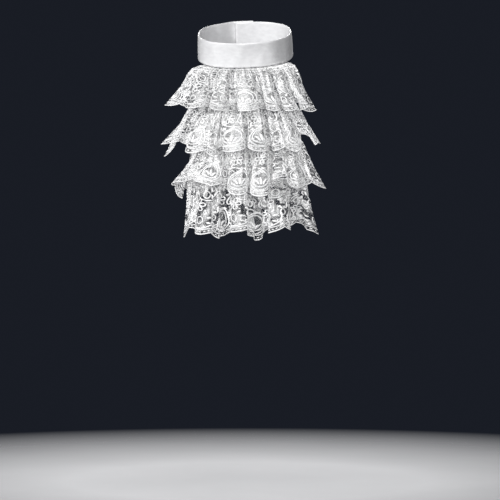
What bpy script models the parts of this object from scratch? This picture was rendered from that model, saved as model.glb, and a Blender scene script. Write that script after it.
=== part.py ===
"""Lace jabot collar: a satin neckband over four gathered lace tiers on a net strip.

The collar keeps the form that it has when worn. Its front faces -Y, +Z is up, and the origin is the
middle of the neckband, where the neck holds it. The sizes below are in millimetres.
"""
import math

import bpy
import numpy as np
from mathutils import Matrix

MM = 0.001

# Neckband: a folded satin strip round the neck, its ring tipped down at the front
NECK_WIDTH = 128.0
NECK_DEPTH = 120.0
NECK_SQUARENESS = 2.4
NECK_STEPS = 720
BAND_HEIGHT = 34.0
BAND_WALL = 2.2
BAND_FLARE = 1.6
BAND_TIP = math.radians(20.0)
BAND_ROLL = math.radians(2.0)
BAND_COLUMNS = 60
BAND_ROWS = 3

# Back closure: the band's outer end laps over its inner end, with a hook and a loop tape between them
BACK_LAP = 25.0
LAP_EASE = 24.0
TAPE_LENGTH = 20.0
TAPE_HEIGHT = 26.0
TAPE_WALL = 1.0
TAPE_COLUMNS = 5
TAPE_ROWS = 3

# Seams: the space left between two pieces that are sewn together
SEAM_GAP = 0.3

# Distance between the points that a curve's direction is read from
PROBE = 1.0

# Chest line: the backing leaves the band's lower edge and runs out and down over the chest
CHEST_REACH = 50.0
CHEST_FALL = 80.0
CHEST_RADIUS = 220.0
CHEST_SETTLE = 40.0
CHEST_TOP = -37.0

# Backing: a strip of net that the tiers are sewn to
BACKING_WALL = 1.0
BACKING_TOP = 116.0
BACKING_BOTTOM = 166.0
BACKING_DROP = 168.0
BACKING_SHIFT = 2.0
BACKING_COLUMNS = 10
BACKING_ROWS = 9

# Lace tiers: one width of scalloped edging, gathered at its heading
LACE_WALL = 1.0
LACE_WIDTH = 85.0
LACE_ROWS = (0.0, 0.14, 0.32, 0.54, 0.78, 1.0)
GATHER_COLUMNS = 6
CURVE_STEPS = 24
# Scallops of the hem: how deep they are cut, how full their lobes are, and the share of the width that bends
SCALLOP_DEPTH = 9.0
SCALLOP_FULLNESS = 0.8
SCALLOP_ZONE = 1.0 / 3.0
# Gathers: half their height at the heading, and how fast they fade below it
GATHER_RISE = 2.1
GATHER_FADE = 2.2
# Folds: how late they open sideways below the heading, in the middle and towards the strip's ends (the share
# of the strip that counts as an end), and how far and where they swell before the hem
FOLD_LATE = 0.5
END_FOLD_LATE = 1.1
END_SHARE = 0.25
FOLD_SWELL = 10.0
SWELL_LATE = 1.2
SAG_SHARE = 0.35
# Heading: its distance out from the backing, over the two half walls and the seam, and the share of the
# width over which the lace turns from the chest's own front to straight ahead
SEAT_SHARE = 1.2
TURN_SHARE = 0.5

# One entry for each tier, from the top:
# heading: distance of its heading below the neckband's lower edge, left and right: the heading's ends,
# gathers: waves along the heading, spread, crest and trough: how late the strip widens and a fold swings
# out (1 is a straight line),
# folds: a row for each turn of the hem, from the wearer's right, as (x, depth, z, roll), where depth is
# measured to the front and roll is the length of the curve's handle, negative where the lace doubles back,
# cusps: where two scallops of the hem meet, counted in fold rows.
TIERS = {
    "lace_tier_1": dict(
        heading=1.6, left=-57.0, right=57.0, gathers=18, spread=0.7, crest=0.95, trough=1.3,
        folds=(
            (-110.0, 66.0, -90.0, 2.0),
            (-86.0, 84.0, -95.0, 10.0),
            (-64.0, 110.0, -97.0, 24.0),
            (-52.0, 92.0, -94.0, 15.0),
            (-37.0, 119.0, -101.0, 27.0),
            (-17.0, 96.0, -97.0, 21.0),
            (7.0, 122.0, -102.0, 33.0),
            (27.0, 97.0, -97.0, 15.0),
            (38.0, 119.0, -101.0, 21.0),
            (48.0, 97.0, -96.0, 12.0),
            (64.0, 113.0, -101.0, 21.0),
            (80.0, 100.0, -91.0, 21.0),
            (80.0, 82.0, -103.0, 14.0),
            (98.0, 70.0, -97.0, 2.0),
        ),
        cusps=(0.8, 2.5, 3.6, 5.0, 6.4, 7.4, 8.9, 10.6, 12.0),
    ),
    "lace_tier_2": dict(
        heading=45.0, left=-64.0, right=62.0, gathers=19, spread=0.65, crest=1.1, trough=1.5,
        folds=(
            (-110.0, 81.0, -161.0, 2.0),
            (-99.0, 92.0, -146.0, -12.0),
            (-103.0, 108.0, -145.0, 20.0),
            (-84.0, 98.0, -147.0, 14.0),
            (-66.0, 120.0, -159.0, 28.0),
            (-48.0, 122.0, -163.0, 14.0),
            (-33.0, 109.0, -155.0, 14.0),
            (-14.0, 133.0, -157.0, 31.0),
            (3.0, 108.0, -150.0, 14.0),
            (17.0, 137.0, -157.0, 28.0),
            (32.0, 108.0, -150.0, 14.0),
            (47.0, 127.0, -156.0, 20.0),
            (66.0, 125.0, -158.0, 17.0),
            (83.0, 99.0, -134.0, 11.0),
            (99.0, 114.0, -150.0, 7.0),
            (98.0, 92.0, -143.0, -7.0),
        ),
        cusps=(0.8, 2.6, 4.5, 6.0, 7.5, 8.6, 9.8, 11.3, 12.8, 14.2),
    ),
    "lace_tier_3": dict(
        heading=98.0, left=-66.0, right=74.0, gathers=20, spread=0.9, crest=1.2, trough=1.5,
        folds=(
            (-85.0, 89.0, -218.0, -7.0),
            (-90.0, 115.0, -197.0, 24.0),
            (-60.0, 124.0, -199.0, 18.0),
            (-39.0, 129.0, -203.0, 16.0),
            (-28.0, 110.0, -201.0, 12.0),
            (-10.0, 137.0, -215.0, 26.0),
            (7.0, 113.0, -205.0, 12.0),
            (20.0, 143.0, -217.0, 29.0),
            (32.0, 113.0, -203.0, 12.0),
            (46.0, 128.0, -193.0, 20.0),
            (66.0, 127.0, -205.0, 16.0),
            (86.0, 111.0, -203.0, 12.0),
            (110.0, 98.0, -205.0, 2.0),
        ),
        cusps=(0.5, 1.5, 3.4, 4.5, 5.6, 6.5, 7.5, 9.3, 11.2),
    ),
    "lace_tier_4": dict(
        heading=153.0, left=-76.0, right=80.0, gathers=20, spread=0.85, crest=1.0, trough=1.4,
        folds=(
            (-83.0, 92.0, -271.0, 2.0),
            (-70.0, 101.0, -262.0, 8.0),
            (-54.0, 120.0, -268.0, 22.0),
            (-40.0, 113.0, -276.0, 14.0),
            (-32.0, 98.0, -270.0, 11.0),
            (-20.0, 100.0, -269.0, 11.0),
            (-6.0, 127.0, -264.0, 27.0),
            (7.0, 101.0, -270.0, 13.0),
            (18.0, 96.0, -276.0, 13.0),
            (31.0, 100.0, -268.0, 13.0),
            (47.0, 131.0, -265.0, 31.0),
            (62.0, 102.0, -258.0, 13.0),
            (74.0, 99.0, -256.0, 11.0),
            (87.0, 104.0, -263.0, 8.0),
            (100.0, 93.0, -267.0, 2.0),
        ),
        cusps=(0.6, 2.85, 5.2, 6.4, 9.0, 10.1, 11.3),
    ),
}

# Colours as linear red, green and blue, with roughness
SATIN = ((0.84, 0.84, 0.85), 0.32)
LACE = ((0.80, 0.80, 0.82), 0.75)
BACKING = ((0.72, 0.72, 0.74), 0.7)
TAPE = ((0.78, 0.78, 0.78), 0.85)


def ease(value):
    """Smooth step from 0 to 1."""
    value = np.clip(value, 0.0, 1.0)
    return value * value * (3.0 - 2.0 * value)


def mix(first, last, share):
    return first + (last - first) * share


def band_to_world(local):
    """Turn points of the level ring into the worn ring, tipped down at the front and rolled."""
    turn = np.array(Matrix.Rotation(-BAND_ROLL, 3, "Y") @ Matrix.Rotation(BAND_TIP, 3, "X"))
    return np.asarray(local) @ turn.T


def neck_outline():
    """Plan points of the neck's outline from the back over the wearer's left, with their arc lengths."""
    turn = np.linspace(0.0, math.tau, NECK_STEPS + 1)
    power = 2.0 / NECK_SQUARENESS
    across = np.sin(turn)
    along = np.cos(turn)
    plan = np.stack((
        0.5 * NECK_WIDTH * np.sign(across) * np.abs(across) ** power,
        0.5 * NECK_DEPTH * np.sign(along) * np.abs(along) ** power,
    ), axis=1)
    steps = np.linalg.norm(np.diff(plan, axis=0), axis=1)
    return plan, np.concatenate(((0.0,), np.cumsum(steps)))


def ring_point(length, out, height):
    """Points at arc lengths from the middle back, moved outwards and up the ring's axis."""
    plan, lengths = neck_outline()
    girth = lengths[-1]
    place = np.mod(length, girth)
    near = [np.stack([np.interp(np.mod(place + step, girth), lengths, plan[:, axis]) for axis in (0, 1)], -1)
            for step in (-PROBE, 0.0, PROBE)]
    way = near[2] - near[0]
    way /= np.linalg.norm(way, axis=-1, keepdims=True)
    outward = np.stack((-way[..., 1], way[..., 0]), -1)
    flat = near[1] + outward * np.expand_dims(out, -1)
    height = np.broadcast_to(height, flat.shape[:-1])
    return band_to_world(np.concatenate((flat, height[..., None]), -1))


def neck_girth():
    return neck_outline()[1][-1]


def lap_rise(length):
    """How far the band's outer end stands off, to lie over the inner end and both tapes."""
    full = BAND_WALL + 2.0 * TAPE_WALL + 3.0 * SEAM_GAP
    start = neck_girth() - 0.5 * BACK_LAP - LAP_EASE
    return full * ease((length - start) / LAP_EASE)


def band_surface(across, up):
    """The neckband's middle surface: across runs along the strip, up from its lower to its upper edge."""
    length = mix(-0.5 * BACK_LAP, neck_girth() + 0.5 * BACK_LAP, across)
    out = lap_rise(length) + BAND_FLARE * (1.0 - up) ** 2
    return ring_point(length, out, BAND_HEIGHT * (up - 0.5))


def tape_surface(across, up, out):
    """A closure tape's middle surface, centred on the middle back."""
    length = TAPE_LENGTH * (across - 0.5)
    flare = BAND_FLARE * (0.5 - TAPE_HEIGHT / BAND_HEIGHT * (up - 0.5)) ** 2
    return ring_point(length, out + flare, TAPE_HEIGHT * (up - 0.5))


def chest_surface(x, drop):
    """The backing's middle surface: x across it, drop down from the neckband's lower edge."""
    near = np.minimum(np.abs(x), 0.5 * BACKING_TOP) / (0.5 * NECK_WIDTH)
    ring_y = -0.5 * NECK_DEPTH * (1.0 - near ** NECK_SQUARENESS) ** (1.0 / NECK_SQUARENESS) - BAND_FLARE
    edge = band_to_world(np.stack((x, ring_y, np.full_like(x, -0.5 * BAND_HEIGHT)), -1))
    middle_y = band_to_world((0.0, -0.5 * NECK_DEPTH - BAND_FLARE, -0.5 * BAND_HEIGHT))[1]
    settled = ease(drop / CHEST_SETTLE)
    forward = CHEST_REACH * (1.0 - np.exp(-drop / CHEST_FALL))
    y = mix(edge[..., 1], middle_y + x * x / (2.0 * CHEST_RADIUS), settled) - forward
    z = mix(edge[..., 2], CHEST_TOP, settled) - drop
    return np.stack((x, y, z), -1)


def chest_front(x, drop):
    """The level direction that points straight out of the chest surface."""
    across = chest_surface(x + 0.5 * PROBE, drop) - chest_surface(x - 0.5 * PROBE, drop)
    front = np.stack((across[..., 1], -across[..., 0], np.zeros_like(x)), -1)
    return front / np.linalg.norm(front, axis=-1, keepdims=True)


def backing_surface(across, down):
    half = 0.5 * mix(BACKING_TOP, BACKING_BOTTOM, down)
    x = mix(-half, half, across) + BACKING_SHIFT * down
    return chest_surface(x, mix(SEAM_GAP + BACKING_WALL, BACKING_DROP, down))


def hem_path(folds):
    """Points on the hem's curve through its folds, and the curve's length up to each."""
    share = np.linspace(0.0, 1.0, CURVE_STEPS, endpoint=False)[:, None]
    pieces = []
    for start, end in zip(folds[:-1], folds[1:]):
        first, last = np.array(start[:3]), np.array(end[:3])
        leave = first + np.array((start[3], 0.0, 0.0))
        arrive = last - np.array((end[3], 0.0, 0.0))
        pieces.append(
            (1 - share) ** 3 * first
            + 3 * (1 - share) ** 2 * share * leave
            + 3 * (1 - share) * share ** 2 * arrive
            + share ** 3 * last
        )
    pieces.append(np.array([folds[-1][:3]]))
    path = np.concatenate(pieces)
    lengths = np.concatenate(((0.0,), np.cumsum(np.linalg.norm(np.diff(path, axis=0), axis=1))))
    return path, lengths


def tier_surface(tier, across, down):
    """A lace tier's middle surface: across from 0 to 1 along the strip, down from its heading to its hem."""
    path, lengths = hem_path(tier["folds"])
    cusps = np.interp(tier["cusps"], np.arange(len(lengths)) / CURVE_STEPS, lengths)
    scallops = len(cusps)
    counts = (0.0, *(np.arange(scallops) + 0.5), scallops)
    place = np.interp(across * scallops, counts, (0.0, *cusps, lengths[-1]))
    hem_x, depth, hem_z = (np.interp(place, lengths, path[:, axis]) for axis in range(3))
    depths = [row[1] for row in tier["folds"]]
    fullness = (depth - min(depths)) / (max(depths) - min(depths))
    late = mix(tier["trough"], tier["crest"], fullness)
    lobe = np.abs(np.cos(math.pi * scallops * across)) ** SCALLOP_FULLNESS
    down = down * (1.0 - SCALLOP_DEPTH / LACE_WIDTH * (1.0 - lobe) * ease(1.0 + (down - 1.0) / SCALLOP_ZONE))

    head_x = mix(tier["left"], tier["right"], across)
    even_x = mix(path[0, 0], path[-1, 0], across)
    widening = down ** tier["spread"]
    narrowing = mix((tier["right"] - tier["left"]) / (path[-1, 0] - path[0, 0]), 1.0, widening)
    inwards = ease(np.minimum(across, 1.0 - across) / END_SHARE)
    opening = narrowing * down ** mix(END_FOLD_LATE, FOLD_LATE, inwards)
    x = mix(head_x, even_x, widening) + (hem_x - even_x) * opening
    hem_drop = CHEST_TOP - hem_z
    drop = mix(tier["heading"], hem_drop, down ** late ** -SAG_SHARE)
    seat = SEAT_SHARE * (0.5 * (BACKING_WALL + LACE_WALL) + SEAM_GAP)
    gather = GATHER_RISE * (1.0 - np.cos(math.tau * tier["gathers"] * across)) * (1.0 - down) ** GATHER_FADE
    hem_out = depth + chest_surface(hem_x, hem_drop)[..., 1]
    swell = FOLD_SWELL * fullness * np.sin(math.pi * down ** SWELL_LATE)
    out = seat + gather + swell + (hem_out - seat) * down ** late
    turned = ease(down / TURN_SHARE)[..., None]
    front = mix(chest_front(head_x, tier["heading"]), np.array((0.0, -1.0, 0.0)), turned)
    front /= np.linalg.norm(front, axis=-1, keepdims=True)
    return chest_surface(x, drop) + front * out[..., None]


def cloth(name, points, wall, look):
    """Make one closed wall from a grid of middle-surface points, rows first, seen from outside."""
    rows, columns = points.shape[:2]
    faces = [
        (row * columns + column, row * columns + column + 1,
         (row + 1) * columns + column + 1, (row + 1) * columns + column)
        for row in range(rows - 1)
        for column in range(columns - 1)
    ]
    mesh = bpy.data.meshes.new(name)
    mesh.from_pydata((points.reshape(-1, 3) * MM).tolist(), [], faces)
    mesh.shade_smooth()
    mesh.materials.append(look)
    body = bpy.data.objects.new(name, mesh)
    bpy.context.collection.objects.link(body)
    solid = body.modifiers.new("Wall", "SOLIDIFY")
    solid.thickness = wall * MM
    solid.offset = 0.0
    return body


def material(name, colour, roughness):
    look = bpy.data.materials.new(name)
    look.use_nodes = True
    shader = look.node_tree.nodes["Principled BSDF"]
    shader.inputs["Base Color"].default_value = (*colour, 1.0)
    shader.inputs["Roughness"].default_value = roughness
    return look


def grid(columns, rows):
    """Shares across and down for a grid, rows given as a count or as the shares themselves."""
    down = np.linspace(0.0, 1.0, rows) if isinstance(rows, int) else np.array(rows)
    return np.meshgrid(np.linspace(0.0, 1.0, columns), down)


def build():
    for old in list(bpy.context.scene.objects):
        bpy.data.objects.remove(old)
    satin = material("white_satin", *SATIN)
    lace = material("white_lace", *LACE)
    net = material("backing_net", *BACKING)
    tape = material("closure_tape", *TAPE)

    cloth("neckband", band_surface(*grid(BAND_COLUMNS, BAND_ROWS)), BAND_WALL, satin)
    tape_grid = grid(TAPE_COLUMNS, TAPE_ROWS)
    loop_out = 0.5 * BAND_WALL + SEAM_GAP + 0.5 * TAPE_WALL
    cloth("loop_tape", tape_surface(*tape_grid, loop_out), TAPE_WALL, tape)
    hook_out = loop_out + TAPE_WALL + SEAM_GAP
    cloth("hook_tape", tape_surface(*tape_grid, hook_out), TAPE_WALL, tape)
    cloth("backing", backing_surface(*grid(BACKING_COLUMNS, BACKING_ROWS)), BACKING_WALL, net)
    for name, tier in TIERS.items():
        columns = tier["gathers"] * GATHER_COLUMNS + 1
        cloth(name, tier_surface(tier, *grid(columns, LACE_ROWS)), LACE_WALL, lace)


build()
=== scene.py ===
"""Lace jabot collar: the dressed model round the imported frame.

The collar is shown as worn, with its front facing -Y. The sizes below are in millimetres, and the
shapes of the cloth repeat those of the part's solids.
"""
import math

import bpy
import numpy as np
from mathutils import Matrix, Vector


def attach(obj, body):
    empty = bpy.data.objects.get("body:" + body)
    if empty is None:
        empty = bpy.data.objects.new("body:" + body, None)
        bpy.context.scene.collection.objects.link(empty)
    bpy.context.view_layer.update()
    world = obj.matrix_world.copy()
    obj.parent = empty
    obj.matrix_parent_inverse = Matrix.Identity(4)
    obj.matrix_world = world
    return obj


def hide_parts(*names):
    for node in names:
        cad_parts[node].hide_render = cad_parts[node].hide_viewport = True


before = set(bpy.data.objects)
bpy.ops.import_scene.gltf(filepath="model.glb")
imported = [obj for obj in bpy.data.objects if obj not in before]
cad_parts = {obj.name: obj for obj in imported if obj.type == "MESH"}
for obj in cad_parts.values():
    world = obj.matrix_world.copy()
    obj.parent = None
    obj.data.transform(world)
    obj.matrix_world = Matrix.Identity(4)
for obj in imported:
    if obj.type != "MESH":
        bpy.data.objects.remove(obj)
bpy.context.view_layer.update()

MM = 0.001
BODY = "root"

# Neckband
NECK_WIDTH = 128.0
NECK_DEPTH = 120.0
NECK_SQUARENESS = 2.4
NECK_STEPS = 720
BAND_HEIGHT = 34.0
BAND_WALL = 2.2
BAND_FLARE = 1.6
BAND_TIP = math.radians(20.0)
BAND_ROLL = math.radians(2.0)

# Back closure
BACK_LAP = 25.0
LAP_EASE = 24.0
TAPE_LENGTH = 20.0
TAPE_HEIGHT = 26.0
TAPE_WALL = 1.0
TAPE_GRID = (61, 79)
# Its faces: half their distance as a share of the wall, the share of it left at the rim, and the rim's width
TAPE_HALF = 0.42
TAPE_RIM_SHARE = 0.35
TAPE_RIM = 0.8
# Its pile or hooks: rise, and waves across and up, as (rate, shift by the other way's wave, that wave's rate)
TAPE_ROUGHNESS = 0.07
TAPE_WAVES = ((97, 5, 31), (121, 4, 23))

# Seams
SEAM_GAP = 0.3

# Steps that directions are read over, in millimetres and as a share, and the least length divided by
PROBE = 1.0
SHARE_PROBE = 0.002
TINY = 1e-9

# Chest line and backing
CHEST_REACH = 50.0
CHEST_FALL = 80.0
CHEST_RADIUS = 220.0
CHEST_SETTLE = 40.0
CHEST_TOP = -37.0
BACKING_WALL = 1.0
BACKING_TOP = 116.0
BACKING_BOTTOM = 166.0
BACKING_DROP = 168.0
BACKING_SHIFT = 2.0
BACKING_GRID = (71, 81)
# Its turned hem: width and step
BACKING_HEM = 9.0
HEM_STEP = 1.2
# Its faces' distances off its middle, and the hem's extra thickness
BACKING_FRONT = 0.32
BACKING_BACK = 0.22
HEM_THICK = 0.30
# Its seams: both ends of level ones and of side ones and the side ones' inset, as shares, distances above the
# foot and below a tier's heading, distance off the middle, points
BACKING_SEAMS = dict(
    level=(0.05, 0.95), side=(0.02, 0.94), inset=0.053, foot=7.5, tier=3.0, lift=-0.5, points=300,
)

# Lace tiers
LACE_WALL = 1.0
LACE_WIDTH = 85.0
CURVE_STEPS = 24
# Scallops of the hem: how deep they are cut, how full their lobes are, and the share of the width that bends
SCALLOP_DEPTH = 9.0
SCALLOP_FULLNESS = 0.8
SCALLOP_ZONE = 1.0 / 3.0
# Gathers: half their height at the heading, and how fast they fade below it
GATHER_RISE = 2.1
GATHER_FADE = 2.2
# Folds: how late they open sideways below the heading, in the middle and towards the strip's ends (the share
# of the strip that counts as an end), and how far and where they swell before the hem
FOLD_LATE = 0.5
END_FOLD_LATE = 1.1
END_SHARE = 0.25
FOLD_SWELL = 10.0
SWELL_LATE = 1.2
SAG_SHARE = 0.35
# Heading: its distance out from the backing as a share of half walls and seam, and the share of the width
# over which the lace turns from the chest's front to straight ahead
SEAT_SHARE = 1.2
TURN_SHARE = 0.5

# One entry for each tier, from the top:
# sewn_to: what carries it, net: the look of its ground, scrolls: how many rows of scrolling threads it has,
# heading: distance of its heading below the neckband's lower edge, left and right: the heading's ends,
# gathers: waves along the heading, spread, crest and trough: how late the strip widens and a fold swings
# out (1 is a straight line),
# folds: a row for each turn of the hem, from the wearer's right, as (x, depth to the front, z, roll), where
# roll is the length of the curve's handle, negative where the lace doubles back,
# cusps: where two scallops of the hem meet, counted in fold rows.
TIERS = {
    "lace_tier_1": dict(
        sewn_to="neckband", net="lace_net", scrolls=7,
        heading=1.6, left=-57, right=57, gathers=18, spread=0.7, crest=0.95, trough=1.3,
        folds=(
            (-110, 66, -90, 2), (-86, 84, -95, 10), (-64, 110, -97, 24), (-52, 92, -94, 15),
            (-37, 119, -101, 27), (-17, 96, -97, 21), (7, 122, -102, 33), (27, 97, -97, 15),
            (38, 119, -101, 21), (48, 97, -96, 12), (64, 113, -101, 21), (80, 100, -91, 21),
            (80, 82, -103, 14), (98, 70, -97, 2),
        ),
        cusps=(0.8, 2.5, 3.6, 5, 6.4, 7.4, 8.9, 10.6, 12),
    ),
    "lace_tier_2": dict(
        sewn_to="backing", net="lace_net", scrolls=7,
        heading=45, left=-64, right=62, gathers=19, spread=0.65, crest=1.1, trough=1.5,
        folds=(
            (-110, 81, -161, 2), (-99, 92, -146, -12), (-103, 108, -145, 20), (-84, 98, -147, 14),
            (-66, 120, -159, 28), (-48, 122, -163, 14), (-33, 109, -155, 14), (-14, 133, -157, 31),
            (3, 108, -150, 14), (17, 137, -157, 28), (32, 108, -150, 14), (47, 127, -156, 20),
            (66, 125, -158, 17), (83, 99, -134, 11), (99, 114, -150, 7), (98, 92, -143, -7),
        ),
        cusps=(0.8, 2.6, 4.5, 6, 7.5, 8.6, 9.8, 11.3, 12.8, 14.2),
    ),
    "lace_tier_3": dict(
        sewn_to="backing", net="lace_net", scrolls=7,
        heading=98, left=-66, right=74, gathers=20, spread=0.9, crest=1.2, trough=1.5,
        folds=(
            (-85, 89, -218, -7), (-90, 115, -197, 24), (-60, 124, -199, 18), (-39, 129, -203, 16),
            (-28, 110, -201, 12), (-10, 137, -215, 26), (7, 113, -205, 12), (20, 143, -217, 29),
            (32, 113, -203, 12), (46, 128, -193, 20), (66, 127, -205, 16), (86, 111, -203, 12),
            (110, 98, -205, 2),
        ),
        cusps=(0.5, 1.5, 3.4, 4.5, 5.6, 6.5, 7.5, 9.3, 11.2),
    ),
    "lace_tier_4": dict(
        sewn_to="backing", net="lace_net_open", scrolls=4,
        heading=153, left=-76, right=80, gathers=20, spread=0.85, crest=1, trough=1.4,
        folds=(
            (-83, 92, -271, 2), (-70, 101, -262, 8), (-54, 120, -268, 22), (-40, 113, -276, 14),
            (-32, 98, -270, 11), (-20, 100, -269, 11), (-6, 127, -264, 27), (7, 101, -270, 13),
            (18, 96, -276, 13), (31, 100, -268, 13), (47, 131, -265, 31), (62, 102, -258, 13),
            (74, 99, -256, 11), (87, 104, -263, 8), (100, 93, -267, 2),
        ),
        cusps=(0.6, 2.85, 5.2, 6.4, 9, 10.1, 11.3),
    ),
}

# Finer gathers over the solids' own: waves for each of theirs, rise, fade, drift, and the drift's rate
FINE_GATHERS = ((1.5, 2.4, 0.8, 1.1), (2.6, 1.9, 1.3, 2.3))
DRIFT_RATE = 9.0
# Close to its seam a heading is pressed flat: share of the gathers' height, how far down, and how far back
PRESSED_SHARE = 0.3
PRESSED_ZONE = 7.0
PRESSED_BACK = 0.8
# The top tier's heading goes up into the neckband: distances above its lower edge
TUCK_RISES = (4, 2.4, 1, 0)
# Crumple: rise and wave lengths along the strip and down it, and the share of the width it comes in over
CRUMPLES = ((0.45, 23, 41), (0.35, -14, 27), (0.22, 8.5, -19))
CRUMPLE_ZONE = 1.0 / 3.0
# The net's mesh: rows down it, and columns for each gather
NET_ROWS = 44
NET_COLUMNS = 15

# Lace thread, with the width of one scallop in its chart
CHART_PITCH = 36.0
CORD_STEP = 1.5
CORD_RISE = 0.34
CORD_SINK = 0.12
FILL_RISE = 0.24
EDGE_MARGIN = 0.4
LEAST_FACE = 1e-6
SCROLL_RISE = 0.7 * CORD_RISE
# Width of each of a cord's four sides in its own chart
SIDE_CHART = 0.5
# Leaves: steps, the part of half a sine wave that their width follows, and how full they are
LEAF_STEPS = 6
LEAF_SPAN = (0.06, 0.98)
LEAF_FULLNESS = 0.7
# Outlined petals: points, and how much narrower they are at the foot
PETAL_POINTS = 11
PETAL_TAPER = 0.25
# Shells: length of the outline for each unit of height, and how sharp the point is
SHELL_OUTLINE = 2.4
SHELL_POINT = 0.6
LEAST_RING_SIDES = 8
BEAD_SIDES = 6
# The tucked tier has no cords or beads closer to its heading than this
TUCKED_MARGIN = 5.0
# Motifs stray from their chart, less towards the hem: how far, where it ends and over what distance, and the
# waves they stray by, as (share, distance along the strip and down it for each radian, phase)
STRAY = dict(along=1.4, down=1.1, end=74.0, zone=20.0)
ALONG_WAVES = ((1, 17, 12, 0), (0.6, -29, 7, 0))
DOWN_WAVES = ((1, 21, math.inf, 1.7), (0.7, 9, 14, 0))

# Edge cords run the whole strip: distance from the heading, width
EDGE_CORDS = ((1, 1.4), (4.9, 1.2), (77, 1.5), (84, 2))
# Rows of beads between them: distance, pitch, half length and half width
BEAD_ROWS = ((2.9, 3.2, 1.1, 0.8), (80.5, 4, 1.5, 1.2))
# Fine threads that scroll along the ground: distance, half height, wave length, curl, phase, width
SCROLLS = (
    (2, 0.7, 5.2, 0.7, 0, 1.8), (3.2, 2, 7.2, 1.2, 1, 1.3), (8, 2.4, 9, 1.4, 3, 1.2),
    (12.5, 2.6, 12, 1.8, 0, 1.2), (23.5, 3.6, 12, 1.5, 2, 1.2), (37, 3.8, 18, 2.4, 4, 1.2),
    (50, 3.2, 12, 2, 3, 1.2),
)
# Nets: width of a mesh, of its threads and of those in closely worked patches, and the scale, stretch and
# start of the noise that places the patches
NETS = {
    "backing_net": dict(mesh=1.3, thread=0.05, worked=0.07, scale=0.055, stretch=1.0, start=0.0),
    "lace_net": dict(mesh=1.5, thread=0.08, worked=0.28, scale=0.055, stretch=0.6, start=444.0),
    "lace_net_open": dict(mesh=1.5, thread=0.04, worked=0.27, scale=0.048, stretch=1.0, start=333.0),
}
NET_ANGLES = (0, 60, 120)
# The noise's level where a patch starts and is full, and its fall for each millimetre down
PATCH_START = 0.40
PATCH_FULL = 0.53
PATCH_FALL = 0.0010
# Motifs are charted about their own middle: a runs along the strip, w is the distance from the heading.
# Angles are in degrees, 0 along the strip and 90 towards the heading.
# cords: width and points, leaves: a, w, angle, length, width, bend,
# flowers: a, w, petals, inner and outer radius, petal width, turn, blooms: the same, with the width of the
# cord that outlines each petal, rings: a, w, radius along, radius down, width,
# shells: bottom, height, width, lean, cord width, spots: a, w, half length, half width.
# The first two groups lie over the scallops by turns, the second one turned over.
SCALLOP_MOTIFS = (
    dict(
        shells=((75.4, 32, 32, 6, 1.9), (70.6, 24, 23, 4.4, 1.6)),
        blooms=((-2, 29.6, 6, 1.6, 9.2, 6, 10, 1.7),), flowers=((6.4, 12.6, 5, 0.8, 5.4, 4.4, 60),),
        rings=((-14.4, 13.2, 3.2, 3.8, 1.7),),
        leaves=(
            (9.6, 43, 165, 7.5, 3.8, -0.3), (-11, 44.6, 70, 6.5, 3.6, -0.3), (9, 24, 20, 8, 4, 0.3),
            (-8, 7.8, 15, 7, 3.6, 0.2), (11.4, 14, 355, 6.5, 3.6, 0.3), (-9.6, 19.6, 100, 6, 3.4, 0.2),
            (1, 67.4, 92, 11, 4.8, 0.1), (-1.4, 67.4, 128, 9, 4.2, 0.3), (3.4, 67.4, 54, 9, 4.2, -0.3),
            (-3.4, 69.4, 165, 5.4, 3.2, 0.2), (5.4, 69.4, 15, 5.4, 3.2, -0.2),
        ),
        cords=(
            (2, ((-18, 25), (-14.4, 23.6), (-11.4, 19.5), (-4, 17.6), (2, 18.2))),
            (2, ((18, 25), (13, 28), (9.4, 34), (11.6, 37), (14.8, 34.6), (13, 32.4))),
            (1.9, ((-18, 45), (-13, 47), (-9, 43.4), (-3, 42.6), (4, 44.6))),
            (1.8, ((-18, 8), (-12, 8.4), (-6, 9), (0, 7.4), (6, 7), (12, 7.2), (18, 8))),
        ),
        spots=((-12.6, 36, 1.2, 1), (6, 47.8, 1.2, 1), (2, 23, 1.1, 0.9)),
    ),
    dict(
        rings=((0.6, 62.4, 3.4, 5.6, 1.6), (-8.6, 24.6, 4.4, 5.2, 1.8)),
        blooms=((2, 39.6, 5, 1.4, 9, 6.6, 30, 1.7),),
        leaves=(
            (-6.2, 66.8, 205, 6, 3.4, 0.1), (-3.8, 71, 235, 3.8, 3, 0.1), (5.6, 70, 305, 4, 3, -0.1),
            (7.2, 65.4, 340, 6, 3.4, -0.1), (-6, 59.6, 165, 6.4, 3.4, -0.1), (7, 58.8, 20, 6, 3.4, 0.1),
            (-3.8, 54.2, 130, 5.2, 3.4, -0.2), (-11.6, 36, 150, 6.5, 3.8, -0.3),
            (-12, 46, 205, 6, 3.6, 0.3), (12, 27.4, 300, 7, 3.8, 0.3), (-14.4, 12.4, 20, 7, 3.6, 0.3),
            (3, 24.4, 40, 6.5, 3.6, 0.3), (4, 13.4, 350, 6.5, 3.6, 0.3),
        ),
        cords=(
            (2.2, ((-17, 57), (-14.6, 54.4), (-16.4, 60), (-14.6, 68), (-8, 73.4), (0, 75),
                   (8, 73.4), (14.6, 68), (16.4, 60), (14.6, 54.4), (17, 57))),
            (1.9, ((-18, 25), (-15, 31), (-10, 33), (-3, 31.6), (2, 28), (6, 20.6),
                   (11.4, 19.4), (12.8, 23), (9.6, 24))),
            (1.9, ((18, 25), (16, 33), (13.4, 38), (15, 45), (18, 45))),
            (1.8, ((-18, 8), (-12, 9), (-6, 8.4), (0, 7.4), (6, 7.6), (12, 8.6), (18, 8))),
        ),
        spots=((12.4, 50, 1.3, 1), (-6, 47.6, 1.2, 1), (-2, 13.4, 1.1, 0.9)),
    ),
)
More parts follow.
